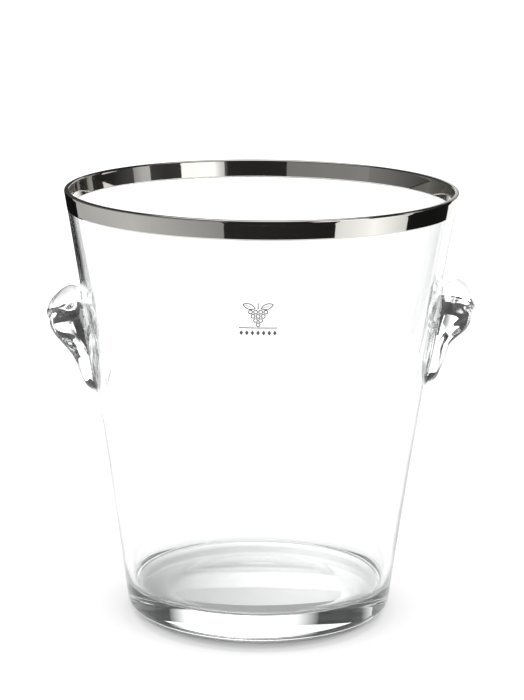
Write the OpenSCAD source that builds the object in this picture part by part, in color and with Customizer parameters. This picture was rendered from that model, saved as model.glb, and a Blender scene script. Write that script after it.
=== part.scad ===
// Mouth-blown clear glass champagne bucket: a flared vessel with a thick solid base, two lugs of glass
// applied hot to its sides, a fired metal band over its rim and a small printed mark. The origin is on
// the table, under the middle of the base. +Z is up, the lugs stand along X and the mark faces -Y.

/* [Vessel] */
// Height from the table to the top of the rim
total_h = 240; // [225:1:255]
// Outer radius that the wall's line has at the table
foot_r = 73.8; // [70:0.1:78]
// Outer radius that the wall's line has at full height
mouth_r = 109; // [105:0.1:112]
// How far the flared wall curves in at half height
wall_sag = 1.1; // [0:0.1:2]
// Glass thickness that the wall tapers to at the rim
rim_glass = 2.5; // [2.2:0.1:2.8]
// Glass thickness that the wall has at the foot
foot_glass = 4.6; // [4:0.1:6]
// How far the fire-polished bead around the rim stands out past each face of the wall
bead_over = 0.1; // [0.05:0.05:0.4]
// Thickness of the solid glass floor
floor_t = 16; // [12:0.5:20]
// Rounding of the heel, between wall and table
heel_r = 7.6; // [5:0.1:10]
// Rounding inside, between floor and wall
floor_fillet_r = 5; // [3:0.5:8]
// Inner radius of the ground ring that the bucket stands on
ring_in_r = 50; // [44:1:56]
// Height of the hollow under the base
kick_h = 1; // [0.5:0.5:5]

/* [Rim band] */
// Height of the metal band outside, from the top of the rim
band_h = 10.6; // [6:0.1:14]
// Height of the metal band inside
inner_band_h = 10; // [6:0.1:14]
// Thickness of the metal
band_t = 0.15; // [0.1:0.05:0.3]

/* [Lugs] */
// Height of the middle of the left lug
left_lug_z = 153.5; // [145:0.5:165]
// Height of the middle of the right lug, which sits a little higher on this hand-made piece
right_lug_z = 159.5; // [145:0.5:165]
// How far each lug reaches from the bucket's axis
lug_reach = 119.6; // [116:0.1:122]
// Half the width of the knob
knob_half_w = 21; // [16:0.5:24]
// Half the width of the fused pad on the wall
pad_half_w = 32; // [24:0.5:36]
// Half the height of the fused pad
pad_half_h = 31; // [28:0.5:36]
// Thickness of the fused pad
pad_t = 1.4; // [1:0.1:2]

/* [Printed mark] */
// Height of the middle of the mark
mark_z = 186.5; // [170:0.5:200]
// How far the mark sits to the left of the middle
mark_shift = 1.3; // [0:0.1:5]
// Thickness of the fired enamel
mark_t = 0.12; // [0.1:0.01:0.2]
// Width of the drawn lines
line_w = 0.5; // [0.3:0.02:0.6]

/* [Hidden] */
$fn = 96;

wall_steps = 12;
arc_steps = 6;
glass_colour = [0.93, 0.95, 0.94, 0.35];

function mix(a, b, t) = a + (b - a) * t;
function wall_out(z) =
    mix(foot_r, mouth_r, z / total_h) - 4 * wall_sag * (z / total_h) * (1 - z / total_h);
function wall_in(z) = wall_out(z) - mix(foot_glass, rim_glass, z / total_h);
function wall_slope(z) = (wall_out(z + 1) - wall_out(z - 1)) / 2;
function arc(cx, cz, r, from, to) =
    [for (i = [0 : arc_steps]) let (a = mix(from, to, i / arc_steps)) [cx + r * cos(a), cz + r * sin(a)]];

// Heights of the steps that the flared wall is built from; every part on the wall shares them
wall_zs = [for (i = [1 : wall_steps - 1]) total_h * i / wall_steps];
function steps_between(low, high) = [for (z = wall_zs) if (z > low && z < high) z];
function rising(low, high) = concat([low], steps_between(low, high), [high]);
function reversed(list) = [for (i = [len(list) - 1 : -1 : 0]) list[i]];

// Heel arc, tangent to the table and to the wall
heel_slope = wall_slope(heel_r);
heel_angle = atan(heel_slope);
heel_cr = wall_out(heel_r) - heel_r * sqrt(1 + heel_slope * heel_slope);

// Inner fillet, tangent to the floor and to the inside of the wall
fillet_z = floor_t + floor_fillet_r;
fillet_cr = wall_in(fillet_z) - floor_fillet_r * sqrt(1 + heel_slope * heel_slope);

// Hollow under the base: a shallow spherical cap
kick_r = (ring_in_r * ring_in_r + kick_h * kick_h) / (2 * kick_h);
kick_half_angle = asin(ring_in_r / kick_r);

// Fire-polished bead that ends the wall, centred on its thickness
bead_r = rim_glass / 2 + bead_over;
bead_z = total_h - band_t - bead_r;
bead_cr = (wall_out(bead_z) + wall_in(bead_z)) / 2;

// Cross-section of the wall with the bead on top, from one height outside and another inside, grown
// evenly to make the metal that covers it
module rim_section(out_z, in_z, grow) {
    polygon(concat(
        [for (z = rising(out_z, bead_z)) [wall_out(z) + grow, z]],
        [for (z = reversed(rising(in_z, bead_z))) [wall_in(z) - grow, z]]
    ));
    translate([bead_cr, bead_z]) circle(r = bead_r + grow, $fn = 48);
}

module glass_vessel() {
    base_top = total_h / wall_steps * 2;
    color(glass_colour) rotate_extrude() {
        polygon(concat(
            arc(0, kick_h - kick_r, kick_r, 90, 90 - kick_half_angle),
            arc(heel_cr, heel_r, heel_r, -90, -heel_angle),
            [for (z = rising(total_h / wall_steps, base_top)) [wall_out(z), z]],
            [[wall_in(base_top), base_top]],
            arc(fillet_cr, fillet_z, floor_fillet_r, -heel_angle, -90),
            [[0, floor_t]]
        ));
        rim_section(base_top, base_top, 0);
    }
}

// U-shaped skin of metal, down the outside and the inside of the rim
module rim_band() {
    out_z = total_h - band_h;
    in_z = total_h - inner_band_h;
    color([0.62, 0.61, 0.59]) rotate_extrude() difference() {
        rim_section(out_z, in_z, band_t);
        rim_section(out_z - 1, in_z - 1, 0);
    }
}

// Everything inside the wall's outer face, grown by a little
module wall_solid(low, high, grow = 0) {
    rotate_extrude()
        polygon(concat([[0, low]], [for (z = rising(low, high)) [wall_out(z) + grow, z]], [[0, high]]));
}

module blob(x, z, radii) {
    translate([x, 0, z]) scale(radii) sphere(r = 1, $fn = 32);
}

// One applied lug on the +X side. The knob hangs over a pinched waist and runs down into a thin tail;
// the pad is the flat foot of the same gather, fused to the wall.
module lug(mid_z) {
    knob_r = 14.2;
    waist_size = [8.6, 13, 9];
    knob_at = [lug_reach - knob_r, mid_z + 15];
    waist_at = [wall_out(mid_z) + 3.6, mid_z - 9];
    tail_at = [wall_out(mid_z - 25) + 1, mid_z - 25];
    low = mid_z - pad_half_h - 2;
    high = mid_z + pad_half_h + 2;
    difference() {
        union() {
            hull() {
                blob(knob_at[0], knob_at[1], [knob_r, knob_half_w, knob_r + 1]);
                blob(waist_at[0], waist_at[1], waist_size);
            }
            hull() {
                blob(waist_at[0], waist_at[1], waist_size);
                blob(tail_at[0], tail_at[1], [4.8, 7, 5.2]);
            }
            intersection() {
                wall_solid(low, high, pad_t);
                translate([0, 0, mid_z]) scale([1, pad_half_w, pad_half_h])
                    rotate([0, 90, 0]) cylinder(h = 2 * mouth_r, r = 1, $fn = 48);
            }
        }
        wall_solid(low - 10, high + 10);
    }
}

module left_lug() {
    color(glass_colour) mirror([1, 0, 0]) lug(left_lug_z);
}

module right_lug() {
    color(glass_colour) lug(right_lug_z);
}

// Pointed leaf, the overlap of two circles, drawn as an outline with a midrib
module leaf_2d(length, width) {
    r = (length * length / 4 + width * width / 4) / width;
    module blade(cut) {
        intersection() {
            translate([0, r - width / 2]) circle(r = r - cut);
            translate([0, width / 2 - r]) circle(r = r - cut);
        }
    }
    difference() {
        blade(0);
        blade(line_w);
    }
    translate([-length * 0.32, -line_w / 4]) square([length * 0.5, line_w / 2]);
}

module berry_2d(r) {
    difference() {
        circle(r = r, $fn = 32);
        circle(r = r - line_w, $fn = 32);
    }
}

// Generic mark: a bunch of berries under two leaves, over a plain rule and a row of lozenges
module mark_2d() {
    rows = 4;
    berry_r = 1.22;
    berry_gap = 0.2;
    pitch = 2 * berry_r + berry_gap;
    rule_w = 20;
    lozenges = 7;
    lozenge_pitch = 2.9;
    for (row = [0 : rows - 1], i = [0 : rows - 1 - row])
        translate([(i - (rows - 1 - row) / 2) * pitch, 4.5 - row * pitch * sin(60)]) berry_2d(berry_r);
    translate([-line_w / 2, 6.1]) square([line_w, 3.2]);
    for (side = [-1, 1])
        translate([side * 4.7, 7.5]) rotate(side * 20) leaf_2d(7.2, 3.3);
    translate([-rule_w / 2, -4.4]) square([rule_w, line_w]);
    for (i = [0 : lozenges - 1])
        translate([(i - (lozenges - 1) / 2) * lozenge_pitch, -6.9])
            polygon([[-1, 0], [0, -1.4], [1, 0], [0, 1.4]]);
}

module printed_mark() {
    half_h = 10;
    color([0.25, 0.25, 0.26]) rotate([0, 0, -atan(mark_shift / wall_out(mark_z))]) difference() {
        intersection() {
            wall_solid(mark_z - half_h, mark_z + half_h, mark_t);
            translate([0, 0, mark_z]) rotate([90, 0, 0])
                linear_extrude(height = mouth_r + 5) mark_2d();
        }
        wall_solid(mark_z - half_h - 1, mark_z + half_h + 1);
    }
}

glass_vessel();
left_lug();
right_lug();
rim_band();
printed_mark();
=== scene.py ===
"""Mouth-blown glass champagne bucket with a metal-banded rim, on a white studio table."""
import math

import bmesh
import bpy
import numpy as np
from mathutils import Matrix, Vector


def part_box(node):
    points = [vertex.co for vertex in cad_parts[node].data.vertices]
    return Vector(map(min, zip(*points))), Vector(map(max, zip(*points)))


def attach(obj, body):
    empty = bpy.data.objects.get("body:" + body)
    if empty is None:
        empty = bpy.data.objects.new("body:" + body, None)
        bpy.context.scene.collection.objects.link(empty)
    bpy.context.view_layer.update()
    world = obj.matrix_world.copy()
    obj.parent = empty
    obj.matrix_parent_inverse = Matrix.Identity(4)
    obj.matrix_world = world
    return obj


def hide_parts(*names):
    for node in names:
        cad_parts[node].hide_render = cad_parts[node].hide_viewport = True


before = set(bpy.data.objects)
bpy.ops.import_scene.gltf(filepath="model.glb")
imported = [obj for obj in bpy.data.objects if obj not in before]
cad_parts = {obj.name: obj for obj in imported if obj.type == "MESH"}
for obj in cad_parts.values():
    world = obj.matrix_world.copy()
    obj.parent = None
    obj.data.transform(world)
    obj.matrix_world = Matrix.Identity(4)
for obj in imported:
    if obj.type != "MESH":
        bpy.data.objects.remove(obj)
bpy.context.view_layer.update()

MM = 0.001
TAU = 2 * math.pi
SEGMENTS = 320                 # round the bucket
FLOOR_FILLET_R = 5 * MM
RIM_SQUARENESS = 2.7           # 2 is a round rim; more is flatter on top
PLAIN_WALL = (39 * MM, 221 * MM)    # heights between which the wall has no fillet, heel or band
THINNEST_WALL = 1 * MM
WALL_WANDER = 0.06 * MM        # how far the inside of the wall strays

# ---------------------------------------------------------------- measures taken from the CAD frame


def ring_radii(node):
    """Smallest and largest radius of a node's vertices at each height: {z: (low, high)}."""
    rings = {}
    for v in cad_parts[node].data.vertices:
        z, r = round(v.co.z, 5), math.hypot(v.co.x, v.co.y)
        low, high = rings.get(z, (r, r))
        rings[z] = (min(low, r), max(high, r))
    return rings


RINGS = ring_radii("glass_vessel")
WALL_RINGS = [z for z in RINGS if PLAIN_WALL[0] < z < PLAIN_WALL[1]
              and RINGS[z][1] - RINGS[z][0] > THINNEST_WALL]
OUTER_CURVE = np.polyfit(WALL_RINGS, [RINGS[z][1] for z in WALL_RINGS], 2)
INNER_CURVE = np.polyfit(WALL_RINGS, [RINGS[z][0] for z in WALL_RINGS], 2)
RING_IN_R, RING_OUT_R = RINGS[min(RINGS)]
KICK_H = max(z for z in RINGS if RINGS[z][0] < 1e-6)
FLOOR_Z = min(z for z in RINGS if z > KICK_H and RINGS[z][0] < np.polyval(OUTER_CURVE, z) - 6 * MM)
TOP_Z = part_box("rim_band")[1].z
BAND_OUT_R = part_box("rim_band")[1].x
BAND_LOW_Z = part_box("rim_band")[0].z
BAND_INNER_LOW_Z = min(z for z, (low, high) in ring_radii("rim_band").items()
                       if low < np.polyval(INNER_CURVE, z) + 0.5 * MM)
BAND_T = BAND_OUT_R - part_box("glass_vessel")[1].x


def wall_out(z):
    return float(np.polyval(OUTER_CURVE, z))


def wall_in(z):
    return float(np.polyval(INNER_CURVE, z))


def slope(curve, z):
    return float(np.polyval(np.polyder(curve), z))


# ---------------------------------------------------------------- small helpers


def smoothstep(edge0, edge1, x):
    t = min(max((x - edge0) / (edge1 - edge0), 0.0), 1.0)
    return t * t * (3 - 2 * t)


def arc(cx, cz, r, start, end, steps, squareness=2.0):
    """Arc from start to end degrees; a squareness over 2 flattens its top and sides."""
    points = []
    for i in range(steps + 1):
        a = math.radians(start + (end - start) * i / steps)
        c, s = math.cos(a), math.sin(a)
        rr = r * (abs(c) ** squareness + abs(s) ** squareness) ** (-1 / squareness)
        points.append((cx + rr * c, cz + rr * s))
    return points


def add_object(name, bm):
    mesh = bpy.data.meshes.new(name)
    bm.normal_update()
    bm.to_mesh(mesh)
    bm.free()
    mesh.polygons.foreach_set("use_smooth", [True] * len(mesh.polygons))
    obj = bpy.data.objects.new(name, mesh)
    bpy.context.scene.collection.objects.link(obj)
    return obj


def dress(obj, material):
    obj.data.materials.clear()
    obj.data.materials.append(material)


def place(obj, node, material):
    dress(obj, material)
    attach(obj, "root")
    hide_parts(node)


def lathe(name, profile, wobble=None):
    """Turns a profile of (radius, height) about Z. A profile that ends on the axis gets a pole there,
    and one that doesn't is closed into a ring."""
    bm = bmesh.new()
    rows = []
    for k, (r, z) in enumerate(profile):
        if r < 1e-7:
            rows.append([bm.verts.new((0, 0, z))])
            continue
        row = []
        for i in range(SEGMENTS):
            a = TAU * i / SEGMENTS
            rr = r + (wobble(k, a, z) if wobble else 0)
            row.append(bm.verts.new((rr * math.cos(a), rr * math.sin(a), z)))
        rows.append(row)
    pairs = list(zip(rows, rows[1:]))
    if len(rows[0]) > 1 and len(rows[-1]) > 1:
        pairs.append((rows[-1], rows[0]))
    for low, high in pairs:
        for i in range(SEGMENTS):
            j = (i + 1) % SEGMENTS
            quad = [low[i % len(low)], low[j % len(low)], high[j % len(high)], high[i % len(high)]]
            face = list(dict.fromkeys(quad))
            bm.faces.new(face)
    return add_object(name, bm)


# ---------------------------------------------------------------- materials


def new_material(name):
    """A material with a Principled BSDF; returns it with its nodes, links and shader."""
    mat = bpy.data.materials.new(name)
    mat.use_nodes = True
    tree = mat.node_tree
    return mat, tree.nodes, tree.links, tree.nodes["Principled BSDF"]


def noise(nodes, links, scale, detail=3.0, stretch=(1, 1, 1)):
    """Noise in object space, so it stays on the piece. Returns its value socket."""
    coords = nodes.new("ShaderNodeTexCoord")
    mapping = nodes.new("ShaderNodeMapping")
    mapping.inputs["Scale"].default_value = stretch
    tex = nodes.new("ShaderNodeTexNoise")
    tex.inputs["Scale"].default_value = scale
    tex.inputs["Detail"].default_value = detail
    links.new(coords.outputs["Object"], mapping.inputs["Vector"])
    links.new(mapping.outputs["Vector"], tex.inputs["Vector"])
    return tex.outputs["Fac"]


def ramp(nodes, links, value, low, high, start=0.3, end=0.7):
    """Maps a noise value to a colour, or to a number when low and high are grey."""
    node = nodes.new("ShaderNodeValToRGB")
    node.color_ramp.elements[0].position = start
    node.color_ramp.elements[0].color = (*low, 1)
    node.color_ramp.elements[1].position = end
    node.color_ramp.elements[1].color = (*high, 1)
    links.new(value, node.inputs["Fac"])
    return node.outputs["Color"]


def grey_stops(nodes, stops):
    """Colour ramp through greys, from a list of (position, level)."""
    node = nodes.new("ShaderNodeValToRGB")
    for i, (position, level) in enumerate(stops):
        stop = node.color_ramp.elements[i] if i < 2 else node.color_ramp.elements.new(position)
        stop.position = position
        stop.color = (level, level, level, 1)
    return node


def bump(nodes, links, height, shader, strength, distance):
    node = nodes.new("ShaderNodeBump")
    node.inputs["Strength"].default_value = strength
    node.inputs["Distance"].default_value = distance
    links.new(height, node.inputs["Height"])
    links.new(node.outputs["Normal"], shader.inputs["Normal"])


GLASS_TINT = (0.985, 0.995, 0.99)


def glass_material(name, striae):
    """Clear glass. striae is the strength of the faint cords that hand working leaves in it."""
    mat, nodes, links, shader = new_material(name)
    shader.inputs["Transmission Weight"].default_value = 1.0
    shader.inputs["IOR"].default_value = 1.5
    cords = noise(nodes, links, 14, 2.0, (1, 1, 0.35))
    links.new(ramp(nodes, links, cords, GLASS_TINT, (1, 1, 1)), shader.inputs["Base Color"])
    wipe = noise(nodes, links, 45, 4.0)
    links.new(ramp(nodes, links, wipe, (0, 0, 0), (0.012,) * 3, 0.45, 0.8), shader.inputs["Roughness"])
    bump(nodes, links, cords, shader, striae, 0.4 * MM)
    volume = nodes.new("ShaderNodeVolumeAbsorption")
    volume.inputs["Color"].default_value = (0.86, 0.92, 0.90, 1)
    volume.inputs["Density"].default_value = 2.0
    links.new(volume.outputs["Volume"], nodes["Material Output"].inputs["Volume"])
    return mat


def metal_material():
    mat, nodes, links, shader = new_material("fired_metal_band")
    shader.inputs["Metallic"].default_value = 1.0
    tone = noise(nodes, links, 30, 3.0)
    links.new(ramp(nodes, links, tone, (0.60, 0.585, 0.55), (0.66, 0.645, 0.61)),
              shader.inputs["Base Color"])
    brushed = noise(nodes, links, 900, 2.0, (1, 1, 0.2))
    links.new(ramp(nodes, links, brushed, (0.02,) * 3, (0.05,) * 3), shader.inputs["Roughness"])
    bump(nodes, links, brushed, shader, 0.03, 0.02 * MM)
    return mat


def enamel_material():
    mat, nodes, links, shader = new_material("fired_enamel")
    grain = noise(nodes, links, 4000, 2.0)
    links.new(ramp(nodes, links, grain, (0.035, 0.035, 0.04), (0.075, 0.075, 0.08)),
              shader.inputs["Base Color"])
    links.new(ramp(nodes, links, grain, (0.3,) * 3, (0.45,) * 3), shader.inputs["Roughness"])
    bump(nodes, links, grain, shader, 0.1, 0.02 * MM)
    return mat


# ---------------------------------------------------------------- vessel and band


def heel_and_wall():
    """Profile from the middle of the underside out to the heel and up the outside of the wall."""
    s = slope(OUTER_CURVE, 0.008)
    heel_r = (wall_out(0) - RING_OUT_R) / (math.sqrt(1 + s * s) - s)
    kick_r = (RING_IN_R ** 2 + KICK_H ** 2) / (2 * KICK_H)
    half = math.degrees(math.asin(RING_IN_R / kick_r))
    kick = arc(0, KICK_H - kick_r, kick_r, 90, 90 - half, 14)
    kick[0] = (0.0, KICK_H)
    flat = [(RING_IN_R + (RING_OUT_R - RING_IN_R) * i / 6, 0.0) for i in range(1, 6)]
    heel = arc(RING_OUT_R, heel_r, heel_r, -90, -math.degrees(math.atan(s)), 14)
    return kick + flat + heel


def rim_profile(low_out, low_in):
    """Profile of the rim from low_out on the outside, over the rounded top, to low_in on the inside."""
    z = TOP_Z - BAND_T
    for _ in range(6):
        middle, radius = (wall_out(z) + wall_in(z)) / 2, (wall_out(z) - wall_in(z)) / 2
        z = TOP_Z - BAND_T - radius
    tilt_out = math.degrees(math.atan(slope(OUTER_CURVE, z)))
    tilt_in = math.degrees(math.atan(slope(INNER_CURVE, z)))
    bead = arc(middle, z, radius, -tilt_out, 180 - tilt_in, 28, RIM_SQUARENESS)
    return ([(wall_out(h), h) for h in np.linspace(low_out, bead[0][1], 14)[:-1]] + bead
            + [(wall_in(h), h) for h in np.linspace(bead[-1][1], low_in, 14)[1:]])


def vessel_profile():
    rim_low = BAND_LOW_Z - 2 * MM
    start = heel_and_wall()
    outer = [(wall_out(z), z) for z in np.linspace(start[-1][1], rim_low, 30)[1:-1]]
    fillet_r = FLOOR_FILLET_R
    s = slope(INNER_CURVE, FLOOR_Z + fillet_r)
    fillet_cr = wall_in(FLOOR_Z + fillet_r) - fillet_r * math.sqrt(1 + s * s)
    fillet = arc(fillet_cr, FLOOR_Z + fillet_r, fillet_r, -math.degrees(math.atan(s)), -90, 10)
    inner = [(wall_in(z), z) for z in np.linspace(rim_low, fillet[0][1], 32)[1:-1]]
    floor = [(fillet_cr * i / 10, FLOOR_Z) for i in range(9, -1, -1)]
    return start + outer + rim_profile(rim_low, rim_low) + inner + fillet + floor


def blown_unevenness(profile):
    """The mould keeps the outside true, so only the inside of the wall wanders a little."""
    top = max(range(len(profile)), key=lambda k: profile[k][1])

    def wobble(k, a, z):
        if k <= top:
            return 0.0
        fade = smoothstep(FLOOR_Z + 4 * MM, 60 * MM, z) * (1 - smoothstep(190 * MM, 226 * MM, z))
        wave = math.cos(2 * a + 0.7 + 9 * z) + 0.6 * math.cos(3 * a - 14 * z + 2.1)
        ripple = 0.25 * math.cos(7 * a + 40 * z) * math.cos(55 * z + 2 * math.cos(a))
        return fade * WALL_WANDER * (wave + ripple)

    return wobble


def make_vessel(material):
    profile = vessel_profile()
    vessel = lathe("vessel", profile, blown_unevenness(profile))
    place(vessel, "glass_vessel", material)
    return vessel


def offset_profile(points, distance):
    """Moves an open profile sideways by distance, to its right as it is walked."""
    pts = np.array(points)
    along = np.gradient(pts, axis=0)
    normal = np.stack([along[:, 1], -along[:, 0]], axis=1)
    normal /= np.linalg.norm(normal, axis=1)[:, None]
    return [tuple(p) for p in pts + normal * distance]


def make_band(material):
    core = rim_profile(BAND_LOW_Z, BAND_INNER_LOW_Z)
    skin = offset_profile(core, BAND_T)
    inside = offset_profile(core, 0.01 * MM)
    band = lathe("metal_band", skin + inside[::-1])
    place(band, "rim_band", material)
    return band


# ---------------------------------------------------------------- lugs

LUG_RINGS, LUG_COLUMNS, PAD_RINGS = 64, 72, 16
LUG_VOXEL = 0.55 * MM
LUG_SMOOTHING = 6              # passes over the fused skin
LUG_EMBED = 0.4 * MM           # how deep a lug sits in the wall
PAD_T = 1.3 * MM
PAD_MARGIN = 0.5 * MM          # how much smaller a pad is than the box of its CAD node, all round
PAD_EDGE_DIP = 0.5 * MM        # how far the pad's edge dips under the wall's surface
PAD_ROOT = 2.6 * MM            # how deep the pad's back lies before it is seated


def spline(values, t):
    """Catmull-Rom curve through evenly spaced values, at t from 0 to 1."""
    x = t * (len(values) - 1)
    i = min(int(x), len(values) - 2)
    f = x - i
    p1, p2 = values[i], values[i + 1]
    p0 = values[i - 1] if i > 0 else 2 * p1 - p2
    p3 = values[i + 2] if i + 2 < len(values) else 2 * p2 - p1
    return 0.5 * (2 * p1 + (p2 - p0) * f + (2 * p0 - 5 * p1 + 4 * p2 - p3) * f ** 2
                  + (3 * p1 - p0 - 3 * p2 + p3) * f ** 3)


def turn_between(a, b):
    """Angle from b round to a, between -180 and 180 degrees, in radians."""
    return (a - b + math.pi) % TAU - math.pi


def fold_depth(a, height, t, turn, crease, dents):
    """How far the skin of a lug is pressed in at angle a, as a share of its radius."""
    fold = crease["depth"] * math.exp(-(turn_between(a, turn) / crease["width"]) ** 2)
    fold *= smoothstep(0.05, 0.25, t) * (1 - smoothstep(0.6, 0.74, t))
    for dent_height, angle, depth, tall, wide in dents:
        away = turn_between(a, math.radians(angle))
        fold += depth * math.exp(-((height / MM - dent_height) / tall) ** 2 - (away / wide) ** 2)
    return fold


def lug_loft(bm, mid_z, stations, crease, dents):
    """Body of a lug on the +X side, as rings stacked from its tail to its top. A station is (height,
    distance of the middle from the wall, half depth, half width), in mm. The crease winds up it, and
    a dent is (height, angle round the lug, depth, reach in height, reach in angle)."""
    columns = list(zip(*stations))
    rows = []
    for k in range(LUG_RINGS + 1):
        t = k / LUG_RINGS
        height, middle, depth, width = (spline(c, t) * MM for c in columns)
        z = mid_z + height
        turn = math.radians(crease["start"] + (crease["end"] - crease["start"]) * t)
        row = []
        for i in range(LUG_COLUMNS):
            a = TAU * i / LUG_COLUMNS
            fold = fold_depth(a, height, t, turn, crease, dents)
            r = 1 - fold + crease["lobes"] * math.cos(2 * (a - turn))
            u = middle + depth * r * math.cos(a)
            row.append(bm.verts.new((wall_out(z) + u, width * r * math.sin(a), z)))
        rows.append(row)
    for low, high in zip(rows, rows[1:]):
        for i in range(LUG_COLUMNS):
            j = (i + 1) % LUG_COLUMNS
            bm.faces.new((low[i], low[j], high[j], high[i]))
    bm.faces.new(rows[0][::-1])
    bm.faces.new(rows[-1])


def lug_pad(bm, mid_z, half_w, half_h):
    """Flat foot of the gather on the wall: a lens whose edge dips under the wall's surface."""
    sides = []
    for front in (True, False):
        rows = []
        for k in range(PAD_RINGS + 1):
            rho = k / PAD_RINGS
            lift = PAD_T * (1 - rho ** 2.6) - PAD_EDGE_DIP * rho ** 6 if front else -PAD_ROOT
            row = []
            for i in range(LUG_COLUMNS if k else 1):
                a = TAU * i / LUG_COLUMNS
                y = rho * half_w * math.sin(a)
                z = mid_z + rho * half_h * math.cos(a) * (1 + 0.04 * math.cos(3 * a))
                r = wall_out(z) + lift
                across = y / wall_out(z)
                row.append(bm.verts.new((r * math.cos(across), r * math.sin(across), z)))
            rows.append(row)
        for low, high in zip(rows, rows[1:]):
            for i in range(LUG_COLUMNS):
                j = (i + 1) % LUG_COLUMNS
                quad = [low[i % len(low)], low[j % len(low)], high[j], high[i]]
                face = list(dict.fromkeys(quad))
                bm.faces.new(face if front else face[::-1])
        sides.append(rows[-1])
    for i in range(LUG_COLUMNS):
        j = (i + 1) % LUG_COLUMNS
        bm.faces.new((sides[0][i], sides[0][j], sides[1][j], sides[1][i]))


def apply_modifiers(obj):
    depsgraph = bpy.context.evaluated_depsgraph_get()
    mesh = bpy.data.meshes.new_from_object(obj.evaluated_get(depsgraph))
    obj.modifiers.clear()
    obj.data = mesh


def fuse(obj):
    """Melts the parts of a lug into one smooth skin."""
    remesh = obj.modifiers.new("fuse", "REMESH")
    remesh.mode = "VOXEL"
    remesh.voxel_size = LUG_VOXEL
    soften = obj.modifiers.new("soften", "SMOOTH")
    soften.factor = 0.5
    soften.iterations = LUG_SMOOTHING
    apply_modifiers(obj)
    obj.data.polygons.foreach_set("use_smooth", [True] * len(obj.data.polygons))


def seat_on_wall(obj):
    """Presses what lies inside the wall out to a skin just under its surface, so that glass meets
    glass."""
    for v in obj.data.vertices:
        r = math.hypot(v.co.x, v.co.y)
        least = wall_out(v.co.z) - LUG_EMBED
        if r < least:
            v.co.x *= least / r
            v.co.y *= least / r


def make_lug(name, node, side, stations, crease, dents, material):
    low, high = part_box(node)
    mid_z = (low.z + high.z) / 2
    bm = bmesh.new()
    lug_loft(bm, mid_z, stations, crease, dents)
    lug_pad(bm, mid_z, high.y - PAD_MARGIN, (high.z - low.z) / 2 - PAD_MARGIN)
    lug = add_object(name, bm)
    fuse(lug)
    seat_on_wall(lug)
    if side == "left":
        lug.data.transform(Matrix.Scale(-1, 4, Vector((1, 0, 0))))
        lug.data.flip_normals()
    place(lug, node, material)
    return lug


LEFT_STATIONS = [
    (-30.5, 0.5, 1.0, 1.4), (-26.5, 2.3, 3.7, 4.4), (-21, 3.5, 4.6, 7.0), (-15, 4.4, 5.2, 8.0),
    (-9, 5.4, 6.4, 8.6), (-3, 6.9, 8.7, 9.8), (2, 8.3, 10.7, 11.2), (7, 9.2, 11.8, 12.2),
    (11, 9.8, 12.0, 12.8), (14, 10.0, 11.9, 13.8), (17, 9.9, 11.4, 15.4), (20, 9.5, 10.6, 17.2),
    (22.8, 8.8, 9.3, 18.6), (25.2, 7.9, 7.4, 18.8), (27.3, 7.0, 5.2, 16.6), (28.8, 6.2, 3.0, 11.0),
    (29.6, 5.6, 1.2, 4.0),
]
RIGHT_STATIONS = [
    (-30.5, 0.8, 1.2, 1.4), (-26, 2.4, 4.2, 4.4), (-20.5, 3.4, 4.9, 7.0), (-15, 4.1, 5.5, 8.0),
    (-9, 5.0, 6.1, 8.4), (-3, 6.5, 7.7, 9.6), (2, 8.2, 10.0, 11.0), (7, 9.3, 11.0, 12.0),
    (11, 9.8, 11.2, 12.6), (14, 9.9, 11.1, 13.7), (17, 9.9, 10.8, 15.3), (20, 9.7, 10.2, 17.0),
    (22.8, 9.2, 9.3, 18.4), (25.2, 8.7, 7.8, 18.6), (27.5, 8.2, 5.8, 16.6), (29.1, 7.8, 3.4, 11.0),
    (30.0, 7.5, 1.3, 4.0),
]
LEFT_CREASE = {"start": 150, "end": -160, "depth": 0.13, "width": 0.30, "lobes": 0.03}
RIGHT_CREASE = {"start": 130, "end": -170, "depth": 0.16, "width": 0.26, "lobes": 0.04}
LEFT_DENTS = [(1, -84, 0.24, 3.6, 0.5), (-4, 60, 0.16, 6, 0.6), (-9, -80, 0.18, 5, 0.8)]
RIGHT_DENTS = [(4, -70, 0.24, 4, 0.4), (0, -120, 0.34, 12, 0.5), (-7, -20, 0.16, 3.5, 0.9)]


# ---------------------------------------------------------------- studio

CAMERA_AT = Vector((0.85 * MM, -1.3142, 446.4 * MM))
CAMERA_PITCH = math.radians(12.79)
CAMERA_ROLL = math.radians(0.52)
CAMERA_LENS = 123.66           # with a sensor 36 mm wide
CAMERA_REACH = 100             # how far it sees, in metres
WHITE = 1.6                    # light that falls on the table
TABLE_HALF = 30                # half of the table's side, in metres
TABLE_GAP = 0.05 * MM          # between the table and the ring that the bucket stands on
# Painted contact shadow: the table's colour is darkened a little under the base's edge, most in front.
# Distances from a point a little in front of the bucket's axis, and how much light is left there
SHADE_MIDDLE = Vector((0, -16 * MM, 0))
SHADE_REACH = 80 * MM
PAINTED_CONTACT_SHADOW = [(0, 1), (0.55, 1), (0.68, 0.55), (0.74, 0.57), (0.82, 0.78), (0.90, 0.96), (1, 1)]
CARD_STEPS = 24
# Brightness against the sine of the elevation
MIRRORED_SKY = [(0.0, 1.0), (0.06, 1.0), (0.12, 0.03), (0.80, 0.03), (0.88, 1.3), (1.0, 1.3)]
REFRACTED_SKY = [(0, 1.2), (0.015, 1.2), (0.06, 0.04), (0.80, 0.04), (0.88, 1.2), (1, 1.2)]
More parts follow.
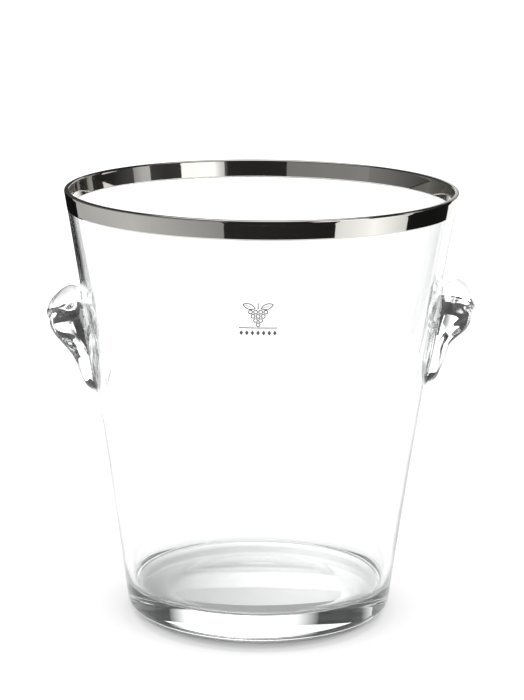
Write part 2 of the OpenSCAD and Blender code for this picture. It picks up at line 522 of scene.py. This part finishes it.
# Cards round the bucket, as a photographer's flags and boards: distance from its axis, bottom, top, from
# and to in degrees from the camera's side towards +X, and brightness at the start, middle and end
LOW, SPLIT, HIGH = 0.0, 0.24, 0.46
METAL_CARDS = {
    "low_flag_left_back": (0.5, LOW, SPLIT, -172, -128, (0.02, 0.008, 0.008)),
    "low_board_left": (0.5, LOW, SPLIT, -128, -20, (0.56, 0.74, 0.38)),
    "low_flag_camera": (0.5, LOW, SPLIT, -20, 40, (0.028, 0.026, 0.02)),
    "low_key": (0.5, LOW, SPLIT, 40, 87, (1.15, 1.5, 0.95)),
    "low_flag_right": (0.5, LOW, SPLIT, 87, 130, (0.012, 0.01, 0.014)),
    "high_board_left": (0.5, SPLIT, HIGH, -172, -77, (0.05, 0.1, 0.28)),
    "high_board_front": (0.5, SPLIT, HIGH, -77, -17, (0.34, 0.31, 0.27)),
    "high_flag_camera": (0.5, SPLIT, HIGH, -17, 24, (0.03, 0.028, 0.032)),
    "high_strip": (0.5, SPLIT, HIGH, 24, 26, (0.1, 0.12, 0.14)),
    "high_key_edge": (0.5, SPLIT, HIGH, 26, 33, (0.8, 1.1, 1.6)),
    "high_key": (0.5, SPLIT, HIGH, 33, 57, (1.7, 1.7, 1.7)),
    "high_gap": (0.5, SPLIT, HIGH, 57, 81, (0.06, 0.05, 0.07)),
    "high_board_right": (0.5, SPLIT, HIGH, 81, 95, (0.68, 0.62, 0.4)),
    "high_flag_right": (0.5, SPLIT, HIGH, 95, 134, (0.09, 0.03, 0.022)),
    "high_board_back": (0.5, SPLIT, HIGH, 134, 176, (0.3, 0.4, 0.95)),
}
GLASS_CARDS = {
    "edge_flag": (0.5, 0.05, SPLIT, -155, -137, (0.02, 0.02, 0.9)),
    "far_flag_left": (1.2, 0.0, 0.65, -165, -110, (0.03, 0.03, 0.03)),
    "far_flag_right": (1.2, 0.0, 0.65, 90, 154, (0.03, 0.03, 0.03)),
    "backdrop": (0.72, 0.136, 0.29, 153, 196, (0.1, 3.4, 0.1)),
}


def make_camera():
    data = bpy.data.cameras.new("camera")
    data.sensor_width = 36
    data.lens = CAMERA_LENS
    data.clip_end = CAMERA_REACH
    camera = bpy.data.objects.new("camera", data)
    bpy.context.scene.collection.objects.link(camera)
    tilt = Matrix.Rotation(math.pi / 2 - CAMERA_PITCH, 4, "X")
    camera.matrix_world = Matrix.Translation(CAMERA_AT) @ tilt @ Matrix.Rotation(CAMERA_ROLL, 4, "Z")
    bpy.context.scene.camera = camera


def table_material():
    """White paper, with a painted contact shadow darkening its colour round the bucket's foot."""
    mat, nodes, links, shader = new_material("white_table")
    grain = noise(nodes, links, 3, 2.0)
    paper = ramp(nodes, links, grain, (0.84,) * 3, (0.85,) * 3)
    coords = nodes.new("ShaderNodeTexCoord")
    reach = nodes.new("ShaderNodeVectorMath")
    reach.operation = "DISTANCE"
    links.new(coords.outputs["Object"], reach.inputs[0])
    reach.inputs[1].default_value = SHADE_MIDDLE
    part = nodes.new("ShaderNodeMath")
    part.operation = "DIVIDE"
    part.inputs[1].default_value = SHADE_REACH
    links.new(reach.outputs["Value"], part.inputs[0])
    # painted contact shadow: a ring of darker paper colour round the foot, deepest in front
    painted_shadow_ramp = grey_stops(nodes, PAINTED_CONTACT_SHADOW)
    painted_shadow_ramp.color_ramp.interpolation = "EASE"
    links.new(part.outputs["Value"], painted_shadow_ramp.inputs["Fac"])
    dim = nodes.new("ShaderNodeVectorMath")
    dim.operation = "SCALE"
    links.new(paper, dim.inputs[0])
    links.new(painted_shadow_ramp.outputs["Color"], dim.inputs["Scale"])
    links.new(dim.outputs["Vector"], shader.inputs["Base Color"])
    shader.inputs["Roughness"].default_value = 0.9
    shader.inputs["Specular IOR Level"].default_value = 0.0
    return mat


def make_floor():
    bm = bmesh.new()
    signs = ((-1, -1), (1, -1), (1, 1), (-1, 1))
    corners = [bm.verts.new((x * TABLE_HALF, y * TABLE_HALF, -TABLE_GAP)) for x, y in signs]
    bm.faces.new(corners)
    floor = add_object("floor", bm)
    dress(floor, table_material())


def card_material(name, levels):
    """Light that changes along the card, from its start over its middle to its end."""
    mat = bpy.data.materials.new(name)
    mat.use_nodes = True
    nodes, links = mat.node_tree.nodes, mat.node_tree.links
    nodes.clear()
    coords = nodes.new("ShaderNodeUVMap")
    coords.uv_map = "along"
    axes = nodes.new("ShaderNodeSeparateXYZ")
    links.new(coords.outputs["UV"], axes.inputs["Vector"])
    blend = nodes.new("ShaderNodeValToRGB")
    blend.color_ramp.elements.new(0.5)
    for stop, position, level in zip(blend.color_ramp.elements, (0.0, 0.5, 1.0), levels):
        stop.position = position
        stop.color = (level / WHITE, level / WHITE, level / WHITE, 1)
    links.new(axes.outputs["X"], blend.inputs["Fac"])
    light = nodes.new("ShaderNodeEmission")
    light.inputs["Strength"].default_value = WHITE
    links.new(blend.outputs["Color"], light.inputs["Color"])
    out = nodes.new("ShaderNodeOutputMaterial")
    links.new(light.outputs["Emission"], out.inputs["Surface"])
    return mat


def make_card(name, radius, low, high, start, end, levels, seen_by):
    bm = bmesh.new()
    along = bm.loops.layers.uv.new("along")
    columns = []
    for i in range(CARD_STEPS + 1):
        a = math.radians(start + (end - start) * i / CARD_STEPS)
        x, y = radius * math.sin(a), -radius * math.cos(a)
        columns.append([bm.verts.new((x, y, z)) for z in (low, high)])
    for i, (left, right) in enumerate(zip(columns, columns[1:])):
        face = bm.faces.new((left[0], right[0], right[1], left[1]))
        for loop, step in zip(face.loops, (i, i + 1, i + 1, i)):
            loop[along].uv = (step / CARD_STEPS, 0.5)
    card = add_object(name, bm)
    dress(card, card_material(name, levels))
    card.visible_camera = False
    card.visible_diffuse = False
    card.visible_shadow = False
    card.visible_glossy = seen_by == "metal"
    card.visible_transmission = seen_by == "glass"


def make_cards():
    for cards, seen_by in ((METAL_CARDS, "metal"), (GLASS_CARDS, "glass")):
        for name, card in cards.items():
            make_card(name, *card, seen_by)


def sky(nodes, links, height, stops):
    """Light that depends on how high a direction points: height is the sine of its elevation."""
    tones = grey_stops(nodes, [(position, level / WHITE) for position, level in stops])
    links.new(height, tones.inputs["Fac"])
    light = nodes.new("ShaderNodeBackground")
    light.inputs["Strength"].default_value = WHITE
    links.new(tones.outputs["Color"], light.inputs["Color"])
    return light.outputs[0]


def make_world():
    """Even white light for the table. Mirrored and refracted rays see a soft box overhead, dark walls
    and a white horizon."""
    world = bpy.data.worlds.new("studio")
    bpy.context.scene.world = world
    world.use_nodes = True
    world.cycles.sampling_method = "NONE"
    nodes, links = world.node_tree.nodes, world.node_tree.links
    nodes.clear()
    direction = nodes.new("ShaderNodeTexCoord")
    axes = nodes.new("ShaderNodeSeparateXYZ")
    links.new(direction.outputs["Generated"], axes.inputs["Vector"])
    path = nodes.new("ShaderNodeLightPath")
    plain = nodes.new("ShaderNodeBackground")
    plain.inputs["Color"].default_value = (1, 1, 1, 1)
    plain.inputs["Strength"].default_value = WHITE
    mirrored = sky(nodes, links, axes.outputs["Z"], MIRRORED_SKY)
    refracted = sky(nodes, links, axes.outputs["Z"], REFRACTED_SKY)
    reached = nodes.new("ShaderNodeMath")
    reached.operation = "GREATER_THAN"
    reached.inputs[1].default_value = 0.5
    links.new(path.outputs["Diffuse Depth"], reached.inputs[0])
    source = plain.outputs[0]
    for ray, light in (("Is Glossy Ray", mirrored), ("Is Transmission Ray", refracted)):
        mix = nodes.new("ShaderNodeMixShader")
        links.new(path.outputs[ray], mix.inputs["Fac"])
        links.new(source, mix.inputs[1])
        links.new(light, mix.inputs[2])
        source = mix.outputs[0]
    lit = nodes.new("ShaderNodeMixShader")
    links.new(reached.outputs[0], lit.inputs["Fac"])
    links.new(source, lit.inputs[1])
    links.new(plain.outputs[0], lit.inputs[2])
    out = nodes.new("ShaderNodeOutputWorld")
    links.new(lit.outputs[0], out.inputs["Surface"])


def set_rendering():
    """Enough bounces for light to get through the lugs and both walls."""
    scene = bpy.context.scene
    scene.view_settings.view_transform = "Standard"
    scene.cycles.use_denoising = True
    scene.cycles.max_bounces = 32
    scene.cycles.transmission_bounces = 32
    scene.cycles.glossy_bounces = 24
    scene.cycles.diffuse_bounces = 4
    scene.cycles.transparent_max_bounces = 16


# ---------------------------------------------------------------- making

make_camera()
make_world()
make_floor()
make_cards()
set_rendering()

make_vessel(glass_material("clear_vessel_glass", 0.02))
make_band(metal_material())
lug_glass = glass_material("clear_lug_glass", 0.04)
make_lug("lug_left", "left_lug", "left", LEFT_STATIONS, LEFT_CREASE, LEFT_DENTS, lug_glass)
make_lug("lug_right", "right_lug", "right", RIGHT_STATIONS, RIGHT_CREASE, RIGHT_DENTS, lug_glass)
dress(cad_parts["printed_mark"], enamel_material())
